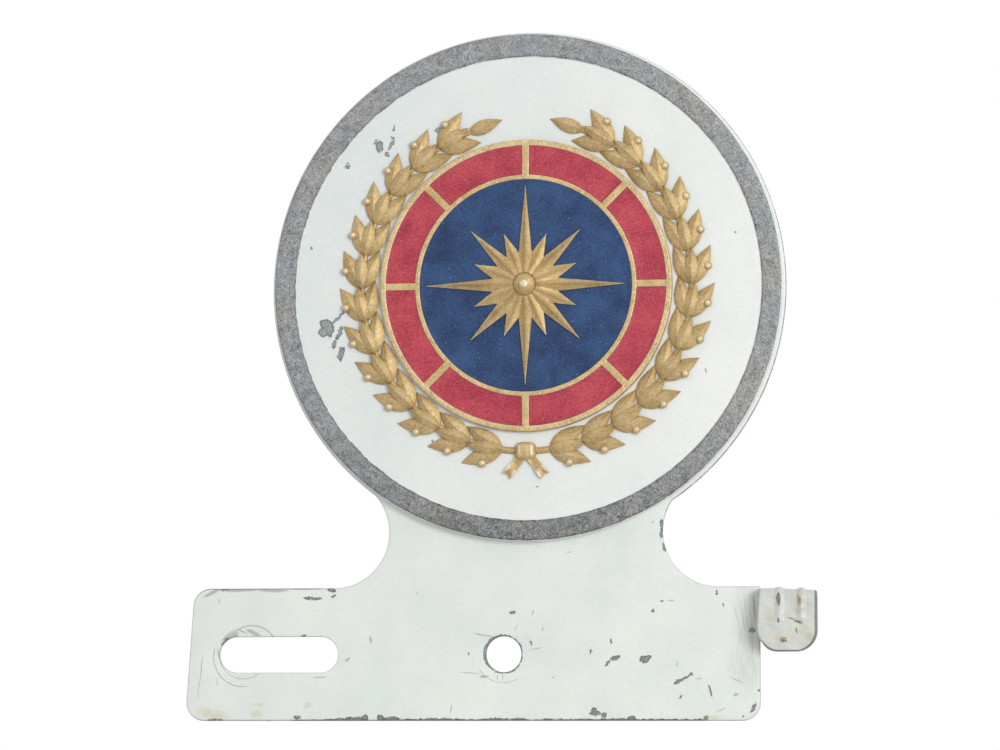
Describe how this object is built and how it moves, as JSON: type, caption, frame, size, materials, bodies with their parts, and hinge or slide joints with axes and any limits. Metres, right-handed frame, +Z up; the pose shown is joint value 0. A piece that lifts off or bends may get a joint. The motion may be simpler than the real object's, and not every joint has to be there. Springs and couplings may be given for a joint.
{
  "type": "license plate topper",
  "caption": "Painted steel bracket that bolts behind a vehicle's plate and carries a round enamelled badge above it, with a hook for the plate's edge.",
  "frame": {"origin": "on the axis of the bar's middle hole, in the front face of the bar", "axes": "+X to the right as seen from the front, +Z up towards the badge, +Y backwards through the sheet; the badge faces -Y"},
  "size_m": [0.1258, 0.0148, 0.1379],
  "materials": {
    "white_paint": "old white paint on pressed steel, chipped at its edges",
    "bare_casting": "bare mottled grey cast metal",
    "white_enamel": "smooth white enamel with a few chips",
    "gilt": "worn matt gilding on struck brass",
    "navy_enamel": "dark blue enamel with a fine grain",
    "red_enamel": "crimson enamel",
    "plated_steel": "dull zinc plating"
  },
  "bodies": {
    "root": {"bracket": "white_paint", "disc_casting": "bare_casting", "white_enamel": "white_enamel", "medallion_base": "gilt", "navy_enamel": "navy_enamel", "red_enamel": "red_enamel", "compass_star": "gilt", "star_rivet": "gilt", "laurel_left": "gilt", "laurel_right": "gilt", "wreath_tie": "gilt", "medallion_studs": "plated_steel", "flat_washers": "plated_steel", "lock_washers": "plated_steel", "stud_nuts": "plated_steel"}
  },
  "joints": []
}
